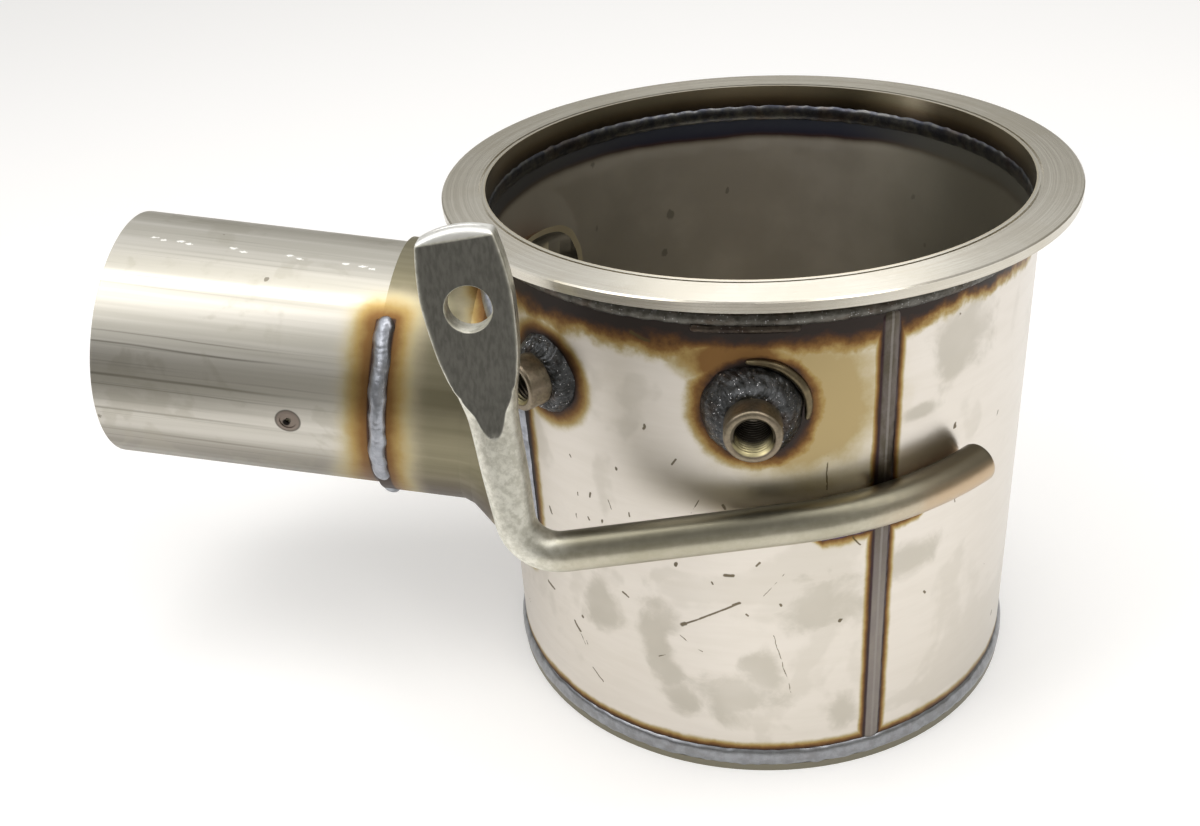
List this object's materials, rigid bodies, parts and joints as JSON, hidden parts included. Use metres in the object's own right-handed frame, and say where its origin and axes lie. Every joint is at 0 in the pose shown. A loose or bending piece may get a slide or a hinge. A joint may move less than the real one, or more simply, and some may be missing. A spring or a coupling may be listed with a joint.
{
  "type": "catalytic converter",
  "caption": "Inlet chamber of an exhaust catalytic converter: open-topped round can with a clamp flange, side inlet pipe, sensor bosses and a bent rod hanger",
  "frame": {"origin": "centre of the end plate's lower face, on the can's axis", "axes": "+Z along the can's axis towards the outlet flange, -X the way the inlet pipe points, -Y the side of the hanger"},
  "size_m": [0.3834, 0.245, 0.2283],
  "materials": {
    "can_shell": "rolled stainless sheet, satin, with grey smudges, spatter flecks and brown heat tint beside the welds",
    "can_seam_weld": "weld metal, blue-grey and rippled",
    "end_plate": "stainless sheet, satin",
    "end_plate_weld": "weld metal, blue-grey and rippled",
    "outlet_flange": "machined stainless, fine turning marks",
    "flange_outer_weld": "weld metal, blue-grey and rippled",
    "flange_inner_weld": "weld metal, blue-grey and rippled",
    "flange_weld_tie_in": "weld metal, blue-grey and rippled",
    "inlet_collar": "stainless tube, straw and olive heat tint",
    "inlet_collar_weld": "weld metal, blue-grey and rippled",
    "inlet_pipe": "drawn stainless tube, streaks along its length, straw tint towards the collar",
    "pipe_stitch_front": "weld metal, blue-grey and rippled",
    "pipe_stitch_lower": "weld metal, blue-grey and rippled",
    "pipe_stitch_rear": "weld metal, blue-grey and rippled",
    "front_sensor_boss": "turned stainless, brown heat tint",
    "front_boss_weld": "weld metal, blue-grey and rippled",
    "side_sensor_boss": "turned stainless, brown heat tint",
    "side_boss_weld": "weld metal, blue-grey and rippled",
    "hanger_rod": "hot-forged round bar, dull grey, with a ground eye",
    "hanger_weld": "weld metal, blue-grey and rippled"
  },
  "bodies": {
    "root": {"can_shell": "can_shell", "can_seam_weld": "can_seam_weld", "end_plate": "end_plate", "end_plate_weld": "end_plate_weld", "outlet_flange": "outlet_flange", "flange_outer_weld": "flange_outer_weld", "flange_inner_weld": "flange_inner_weld", "flange_weld_tie_in": "flange_weld_tie_in", "inlet_collar": "inlet_collar", "inlet_collar_weld": "inlet_collar_weld", "inlet_pipe": "inlet_pipe", "pipe_stitch_front": "pipe_stitch_front", "pipe_stitch_lower": "pipe_stitch_lower", "pipe_stitch_rear": "pipe_stitch_rear", "front_sensor_boss": "front_sensor_boss", "front_boss_weld": "front_boss_weld", "side_sensor_boss": "side_sensor_boss", "side_boss_weld": "side_boss_weld", "hanger_rod": "hanger_rod", "hanger_weld": "hanger_weld"}
  },
  "joints": []
}
